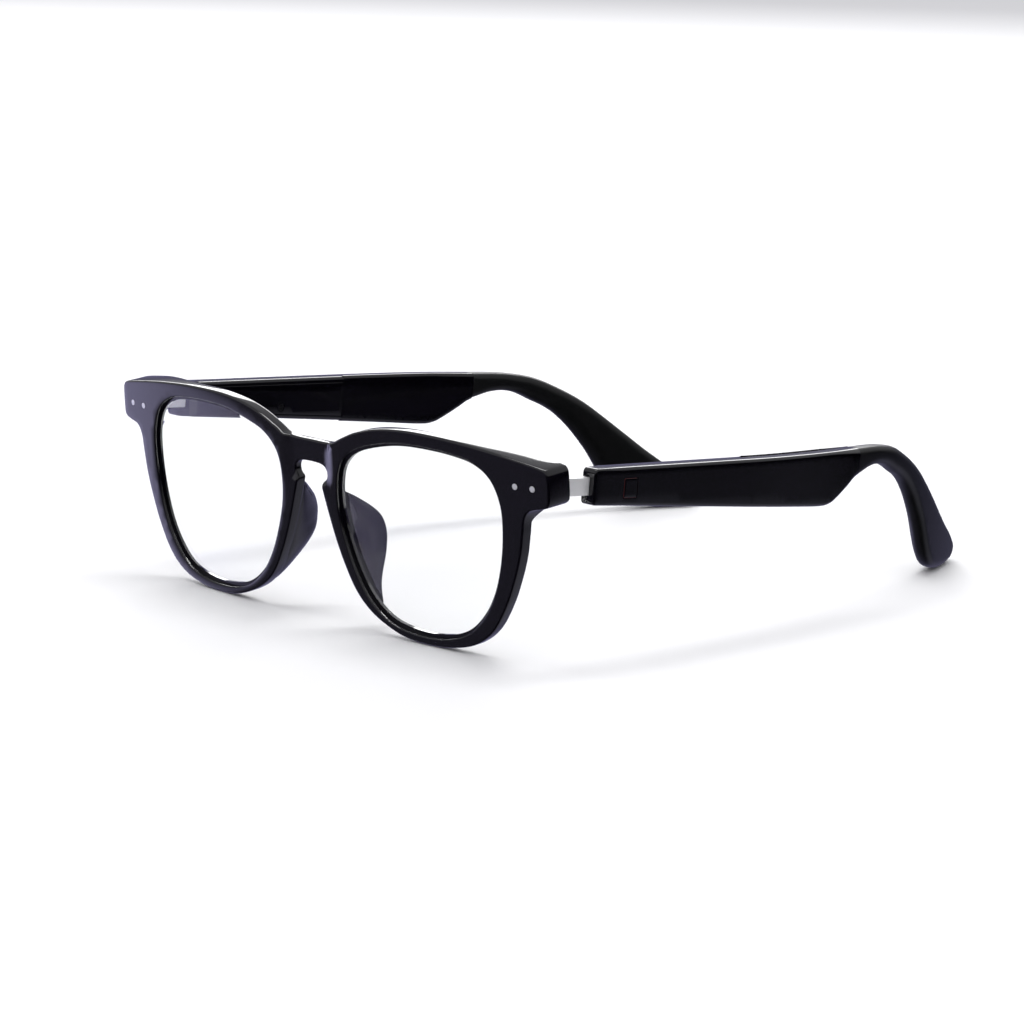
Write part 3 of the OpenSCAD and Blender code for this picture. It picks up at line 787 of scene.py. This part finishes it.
def front_end_cut():
    """What is taken from the inner side of the front end, which is thinner than the temple."""
    outline = np.array([(-20, -5), (-1.1, -5), (-1.1, 3.8), (-2.5, 5.2), (-20, 5.2)])
    return block(np.insert(outline, 2, -20, axis=1), np.insert(outline, 2, 5, axis=1))


temple_gloss = gloss_black("temple_gloss", (0.0012, 0.0011, 0.0019), 0.1)
whole = slab("temple", [temple_outline()], [temple_profile], flat_temple(X_OUT), spacing=2.0)
cavity = [(5.5, -1.2), (CAVITY_END, -1.2), (CAVITY_END, -8.3), (79, -9.9),
          (75, low_edge(75) + WALL), (5.5, low_edge(5.5) + WALL)]
low_slot = low_edge(SLOT_S[0])
shell_cuts = [
    prism(cavity, X_IN - 2, X_WALL),
    prism(rect(SPLIT_S - 0.05, TIP_S + 1, -14, 2), X_IN - 3, X_COVER + 0.05),
    front_end_cut(),
    prism(rect(-3, PIN_S + 1.1, *POCKET_Z), -20, 1.05, 0.3),
    turned([(0.52, -0.5), (0.52, 3.2)], (0, PIN_S, low_edge(PIN_S) - 0.2), (0, 0, 1)),
    turned([(0.85, -1), (0.85, 1.0)], (0, PIN_S, low_edge(PIN_S) - 0.1), (0, 0, 1)),
    prism(rect(KEY_S - 0.1, KEY_S + KEY_W + 0.1, KEY_Z - KEY_H - 0.1, KEY_Z + 0.1),
          X_WALL - 0.3, X_OUT + 1, 0.3),
    prism(rect(SLOT_S[0], SLOT_S[1], low_slot - 2, low_slot + WALL + 0.4), -0.6, 0.8),
    turned([(0.35, -1), (0.35, 1.6)], (-1, MIC_S, low_edge(MIC_S)), (0, 0, 1), 20)]
boss = turned([(1.0, 0), (1.0, X_WALL + 0.2 - X_COVER)], (X_COVER + 0.05, *COVER_SCREW), (1, 0, 0))
shell = solid_op(cut_at(whole, 1, TIP_S, -1), shell_cuts)
shell = solid_op(shell, [boss], "UNION")
for side, sign in SIDES:
    mesh = bend_and_place(shell, sign, "temple_shell_" + side)
    finish_piece("temple_shell_" + side, mesh, temple_gloss, "temple_" + side,
                 ["temple_shell_" + side])


# ---------------------------------------------------------------------------
# Temple tips. Soft satin rubber-like plastic moulded over a flat steel core, which carries it
# behind the ear; the core runs on into the shell and holds the two together.
# ---------------------------------------------------------------------------
soft_black = grained("soft_black", (0.0035, 0.0035, 0.004), 0.34, 2600, 0.35, bump=0.12, detail=6,
                     Specular_IOR_Level=0.4)
tip = cut_at(whole, 1, TIP_S, 1)
for side, sign in SIDES:
    mesh = bend_and_place(tip, sign, "temple_tip_" + side)
    finish_piece("temple_tip_" + side, mesh, soft_black, "temple_" + side, ["temple_tip_" + side])


# ---------------------------------------------------------------------------
# Hinges. A stamped satin steel plate lies in the back of each end piece, held by two rivets;
# its tongue runs back into the temple's fork and turns there on a screw put in from below.
# ---------------------------------------------------------------------------
def softened(node, width, segments=3, flat=25):
    """A finished copy of a CAD node's shape, with its hard edges rounded."""
    shape = bmesh.new()
    shape.from_mesh(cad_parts[node].data)
    bmesh.ops.remove_doubles(shape, verts=shape.verts, dist=1e-6)
    bmesh.ops.dissolve_limit(shape, angle_limit=radians(1), verts=shape.verts, edges=shape.edges)
    shape.normal_update()
    hard = [e for e in shape.edges if e.is_manifold and e.calc_face_angle() > radians(flat)]
    bmesh.ops.bevel(shape, geom=hard, offset=width / 1000, offset_type="OFFSET",
                    segments=segments, profile=0.5, affect="EDGES", clamp_overlap=True)
    bmesh.ops.triangulate(shape, faces=[f for f in shape.faces if len(f.verts) > 4])
    mesh = bpy.data.meshes.new(node)
    shape.to_mesh(mesh)
    shape.free()
    close(mesh, 1e-6)
    mesh.set_sharp_from_angle(angle=CREASE)
    return mesh


def add_tree(name):
    tree = bpy.data.node_groups.new(name, "GeometryNodeTree")
    tree.interface.new_socket("Geometry", in_out="INPUT", socket_type="NodeSocketGeometry")
    tree.interface.new_socket("Geometry", in_out="OUTPUT", socket_type="NodeSocketGeometry")
    return tree, tree.nodes.new, tree.links.new


def grown_mesh(name, mesh, tree, **values):
    """The plain mesh that a node tree makes from this mesh and these values of its inputs."""
    holder = add_object(name + "_base", mesh)
    grow = holder.modifiers.new("grow", "NODES")
    grow.node_group = tree
    names = {s.name: s.identifier for s in tree.interface.items_tree if s.in_out == "INPUT"}
    for key, value in values.items():
        grow[names[key.replace("_", " ")]] = value
    bpy.context.view_layer.update()
    result = bpy.data.meshes.new_from_object(
        holder.evaluated_get(bpy.context.evaluated_depsgraph_get()))
    holder.modifiers.remove(grow)
    bpy.data.objects.remove(holder)
    return result


def planted(name, points, directions, stem, material):
    """Copies of the stem mesh at these points, each standing along its direction."""
    tree, new, link = add_tree(name)
    for label, kind in (("Stem", "NodeSocketObject"), ("Finish", "NodeSocketMaterial")):
        tree.interface.new_socket(label, in_out="INPUT", socket_type=kind)
    start, end = new("NodeGroupInput"), new("NodeGroupOutput")
    source = new("GeometryNodeObjectInfo")
    plant = new("GeometryNodeInstanceOnPoints")
    stand = new("FunctionNodeAlignRotationToVector")
    stand.axis = "Z"
    facing = new("GeometryNodeInputNamedAttribute")
    facing.data_type = "FLOAT_VECTOR"
    facing.inputs["Name"].default_value = "facing"
    real = new("GeometryNodeRealizeInstances")
    paint = new("GeometryNodeSetMaterial")
    link(start.outputs["Geometry"], plant.inputs["Points"])
    link(start.outputs["Stem"], source.inputs["Object"])
    link(source.outputs["Geometry"], plant.inputs["Instance"])
    link(facing.outputs["Attribute"], stand.inputs["Vector"])
    link(stand.outputs["Rotation"], plant.inputs["Rotation"])
    link(plant.outputs["Instances"], real.inputs["Geometry"])
    link(real.outputs["Geometry"], paint.inputs["Geometry"])
    link(start.outputs["Finish"], paint.inputs["Material"])
    link(paint.outputs["Geometry"], end.inputs["Geometry"])
    mesh = bpy.data.meshes.new(name + "_points")
    mesh.from_pydata([tuple(p) for p in points], [], [])
    mesh.attributes.new("facing", "FLOAT_VECTOR", "POINT").data.foreach_set(
        "vector", np.array(directions, float).ravel())
    stem_object = add_object(name + "_stem", stem)
    result = grown_mesh(name, mesh, tree, Stem=stem_object, Finish=material)
    bpy.data.objects.remove(stem_object)
    close(result)
    result.set_sharp_from_angle(angle=CREASE)
    return result


satin_steel = grained("satin_steel", (0.86, 0.86, 0.87), 0.42, 500, 0.06, bump=0.15,
                      stretch=(1, 0.08, 1), Metallic=0.35)
rivet_metal = grained("rivet_metal", (0.82, 0.82, 0.84), 0.3, 1500, 0.08, bump=0.1, Metallic=0.5)
screw_steel = grained("screw_steel", (0.5, 0.51, 0.53), 0.3, 1800, 0.15, bump=0.1, Metallic=1.0)
head = [(RIVET_R, -3.0), (RIVET_R, -0.03), (RIVET_R - 0.06, 0.03), (RIVET_R * 0.62, 0.05),
        (RIVET_R * 0.55, 0.02), (RIVET_R * 0.48, 0.045), (0.08, 0.06)]
for side, sign in SIDES:
    mesh = softened("hinge_bar_" + side, 0.22)
    finish_piece("hinge_bar_" + side, mesh, satin_steel, "front", ["hinge_bar_" + side])
    points, facing = zip(*[rivet_line(x, sign) for x in RIVET_X])
    mesh = planted("rivets_" + side, np.array(points) / 1000, facing, turned(head, (0, 0, 0), (0, 0, 1), 40),
                   rivet_metal)
    finish_piece("rivets_" + side, mesh, rivet_metal, "front", ["rivets_" + side])
    low = low_edge(PIN_S) + 0.15
    screw = turned([(0.72, 0), (0.8, 0.08), (0.8, 0.7), (0.5, 0.7), (0.5, -low - 0.7)],
                   (0, PIN_S, low), (0, 0, 1), 40)
    slot_cut = prism(rect(PIN_S - 1, PIN_S + 1, low - 0.2, low + 0.25), -0.11, 0.11)
    mesh = bend_and_place(solid_op(screw, [slot_cut]), sign, "hinge_screw_" + side)
    finish_piece("hinge_screw_" + side, mesh, screw_steel, "temple_" + side,
                 ["hinge_screw_" + side])


# ---------------------------------------------------------------------------
# Inner covers. Two thin gloss lids close each temple on the inner side: the front one is held by
# a small blackened screw and carries the charging contacts, the rear one is glued over the battery.
# ---------------------------------------------------------------------------
contact_gold = grained("contact_gold", (0.83, 0.62, 0.27), 0.25, 2200, 0.08, Metallic=1.0)
black_steel = grained("black_steel", (0.016, 0.016, 0.018), 0.35, 1800, 0.2, Metallic=0.6)
lid = np.array([(5.55, -1.25), (SPLIT_S - 0.05, -1.25), (SPLIT_S - 0.05, low_edge(SPLIT_S) + WALL + 0.05),
                (5.55, low_edge(5.55) + WALL + 0.05)])
lid_cuts = [turned([(0.78, -1), (0.78, 2)], (X_IN, s, CONTACT_Z), (1, 0, 0)) for s in CONTACT_S]
lid_cuts += [turned([(0.95, -1), (0.95, 0.5)], (X_IN, *COVER_SCREW), (1, 0, 0)),
             turned([(0.55, -1), (0.55, 2)], (X_IN, *COVER_SCREW), (1, 0, 0))]


def cover_shape():
    """The rear lid: the temple's own outline, standing a little proud until near the tip."""
    loop = temple_outline()
    if loop_area(loop) < 0:
        loop = loop[::-1]
    normal, _ = inward(loop)
    proud = COVER_STEP * np.clip((TIP_S - loop[:, 0]) / COVER_FADE, 0, 1)
    return loop - normal * proud[:, None]


def cover_profile(loop, back):
    if not back:
        return round_edge(0.04, 2)
    return round_edge(np.minimum(temple_radius(loop[:, 0]), COVER_T - 0.05), 6)


lid_place = flat_temple(X_COVER)
front_lid = solid_op(slab("lid", [even_loop(rounded(lid, 0.5), 0.4)], [even_edge(0.05, 0.15, 3)],
                          lid_place), lid_cuts)
rear_lid = slab("rear_lid", [cover_shape()], [cover_profile], lid_place, spacing=2.0)
rear_lid = cut_at(cut_at(rear_lid, 1, SPLIT_S, 1), 1, TIP_S - 0.05, -1)
for side, sign in SIDES:
    body = "temple_" + side
    for name, shape in (("speaker_cover_", front_lid), ("battery_cover_", rear_lid)):
        mesh = bend_and_place(shape, sign, name + side)
        finish_piece(name + side, mesh, temple_gloss, body, [name + side])
    mesh = softened("charging_contacts_" + side, 0.08)
    finish_piece("charging_contacts_" + side, mesh, contact_gold, body,
                 ["charging_contacts_" + side])
    screw = turned([(0.84, 0), (0.9, 0.06), (0.9, 0.4), (0.5, 0.4), (0.5, 3.5)],
                   (X_IN + 0.1, *COVER_SCREW), (1, 0, 0), 40)
    cross = [prism(rect(COVER_SCREW[0] - a, COVER_SCREW[0] + a, COVER_SCREW[1] - b,
                        COVER_SCREW[1] + b), X_IN - 0.5, X_IN + 0.3) for a, b in ((0.55, 0.1), (0.1, 0.55))]
    mesh = bend_and_place(solid_op(screw, cross), sign, "cover_screw_" + side)
    finish_piece("cover_screw_" + side, mesh, black_steel, body, ["cover_screw_" + side])


# ---------------------------------------------------------------------------
# Press keys. A polished black cap stands flush in a window of each temple's outer wall; the
# moulding line round it shows dark red.
# ---------------------------------------------------------------------------
LIP = 0.3                             # how far the cap's lip reaches behind the wall
KEY_BACK = X_WALL - 0.6               # the cap's back face

key_black = gloss_black("key_black", (0.0012, 0.0011, 0.0019), 0.09)
key_red = grained("key_red", (0.09, 0.008, 0.010), 0.4, 1200)
cap_outline = rounded(rect(KEY_S, KEY_S + KEY_W, KEY_Z - KEY_H, KEY_Z), 0.35)
for side, sign in SIDES:
    cap = slab("cap", [even_loop(cap_outline, 0.2)], [even_edge(0.16, 0.05, 3)],
               flat_temple(X_OUT, KEY_BACK), spacing=0.6)
    lip = prism(rect(KEY_S - LIP, KEY_S + KEY_W + LIP, KEY_Z - KEY_H - LIP, KEY_Z + LIP),
                KEY_BACK, X_WALL - 0.1, 0.3)
    mesh = bend_and_place(solid_op(cap, [lip], "UNION"), sign, "press_key_" + side)
    key = finish_piece("press_key_" + side, mesh, key_black, "key_" + side, ["press_key_" + side])
    key.data.materials.append(key_red)
    for face in key.data.polygons:
        if abs(face.normal.x) < 0.93:
            face.material_index = 1


# ---------------------------------------------------------------------------
# Speaker meshes. Etched blackened steel strips with rows of round holes, glued in the slot in
# the lower edge of each temple, where the sound comes out above the ear.
# ---------------------------------------------------------------------------
def perforated(name, length, width, thick, pitch, hole, material):
    """A flat strip with a grid of holes, lying in x and y and rising by its thickness."""
    tree, new, link = add_tree(name)
    for label in ("Length", "Width", "Thick", "Hole"):
        tree.interface.new_socket(label, in_out="INPUT", socket_type="NodeSocketFloat")
    for label in ("Columns", "Rows"):
        tree.interface.new_socket(label, in_out="INPUT", socket_type="NodeSocketInt")
    tree.interface.new_socket("Finish", in_out="INPUT", socket_type="NodeSocketMaterial")
    start, end = new("NodeGroupInput"), new("NodeGroupOutput")
    border = new("GeometryNodeCurvePrimitiveQuadrilateral")
    grid = new("GeometryNodeMeshGrid")
    circle = new("GeometryNodeCurvePrimitiveCircle")
    circle.inputs["Resolution"].default_value = 10
    plant = new("GeometryNodeInstanceOnPoints")
    real = new("GeometryNodeRealizeInstances")
    both = new("GeometryNodeJoinGeometry")
    fill = new("GeometryNodeFillCurve")
    rise = new("GeometryNodeExtrudeMesh")
    rise.inputs["Individual"].default_value = False
    base = new("GeometryNodeJoinGeometry")
    flip = new("GeometryNodeFlipFaces")
    paint = new("GeometryNodeSetMaterial")
    link(start.outputs["Length"], border.inputs["Width"])
    link(start.outputs["Width"], border.inputs["Height"])
    inner = []
    for label in ("Length", "Width"):
        less = new("ShaderNodeMath")
        less.operation = "MULTIPLY"
        less.inputs[1].default_value = 0.88 if label == "Length" else 0.6
        link(start.outputs[label], less.inputs[0])
        inner.append(less.outputs["Value"])
    link(inner[0], grid.inputs["Size X"])
    link(inner[1], grid.inputs["Size Y"])
    link(start.outputs["Columns"], grid.inputs["Vertices X"])
    link(start.outputs["Rows"], grid.inputs["Vertices Y"])
    link(start.outputs["Hole"], circle.inputs["Radius"])
    link(grid.outputs["Mesh"], plant.inputs["Points"])
    link(circle.outputs["Curve"], plant.inputs["Instance"])
    link(plant.outputs["Instances"], real.inputs["Geometry"])
    link(border.outputs["Curve"], both.inputs["Geometry"])
    link(real.outputs["Geometry"], both.inputs["Geometry"])
    link(both.outputs["Geometry"], fill.inputs["Curve"])
    link(fill.outputs["Mesh"], rise.inputs["Mesh"])
    link(start.outputs["Thick"], rise.inputs["Offset Scale"])
    link(rise.outputs["Mesh"], base.inputs["Geometry"])
    link(fill.outputs["Mesh"], flip.inputs["Mesh"])
    link(flip.outputs["Mesh"], base.inputs["Geometry"])
    link(base.outputs["Geometry"], paint.inputs["Geometry"])
    link(start.outputs["Finish"], paint.inputs["Material"])
    link(paint.outputs["Geometry"], end.inputs["Geometry"])
    return grown_mesh(name, bpy.data.meshes.new(name + "_seed"), tree, Length=length / 1000,
                      Width=width / 1000, Thick=thick / 1000, Hole=hole / 1000,
                      Columns=int(length / pitch), Rows=3, Finish=material)


mesh_steel = grained("mesh_steel", (0.05, 0.05, 0.055), 0.4, 1500, 0.2, bump=0.2, Metallic=0.8)
strip = perforated("mesh_strip", SLOT_S[1] - SLOT_S[0] - 0.1, 1.3, 0.45, 0.42, 0.13, mesh_steel)
slope = Matrix.Rotation(-np.arctan(LOW_SLOPE), 4, "X")
for side, sign in SIDES:
    mesh = strip.copy()
    middle = sum(SLOT_S) / 2
    mesh.transform(Matrix.Translation(Vector((0.1, middle, low_edge(middle) + 0.15)) / 1000)
                   @ slope @ Matrix.Rotation(pi / 2, 4, "Z"))
    mesh = bend_and_place(mesh, sign, "speaker_mesh_" + side)
    finish_piece("speaker_mesh_" + side, mesh, mesh_steel, "temple_" + side,
                 ["speaker_mesh_" + side])


# ---------------------------------------------------------------------------
# Inside the temples. Board, chip, switch, microphone, speaker, battery, ribbon, magnet, antenna
# and the core of the tip sit in the closed shells; only the microphone's port looks in on them.
# ---------------------------------------------------------------------------
inner_finishes = {
    "tip_core": grained("core_steel", (0.55, 0.55, 0.57), 0.35, 900, 0.1, bump=0.2,
                        stretch=(1, 0.1, 1), Metallic=1.0),
    "main_board": grained("board_green", (0.012, 0.12, 0.05), 0.4, 1100, 0.3, bump=0.15),
    "audio_chip": grained("chip_black", (0.02, 0.02, 0.022), 0.55, 2500, 0.3, bump=0.3),
    "key_switch": grained("switch_metal", (0.72, 0.6, 0.3), 0.3, 1500, 0.1, Metallic=1.0),
    "battery": grained("battery_foil", (0.5, 0.51, 0.53), 0.35, 400, 0.1, bump=0.5, Metallic=0.9),
    "battery_ribbon": grained("ribbon_film", (0.4, 0.16, 0.04), 0.35, 800, 0.15,
                              stretch=(1, 0.05, 1)),
    "speaker": grained("speaker_black", (0.03, 0.03, 0.033), 0.5, 1400, 0.25, bump=0.2),
    "microphone": grained("mic_can", (0.65, 0.65, 0.67), 0.3, 1700, 0.08, Metallic=1.0),
    "dock_magnet": grained("magnet_nickel", (0.6, 0.6, 0.62), 0.2, 1600, 0.08, Metallic=1.0),
    "antenna": grained("antenna_copper", (0.7, 0.35, 0.17), 0.35, 900, 0.12, Metallic=1.0)}
for name, finish in inner_finishes.items():
    for side, _ in SIDES:
        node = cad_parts[name + "_" + side]
        for holder in node.material_slots:
            holder.material = finish
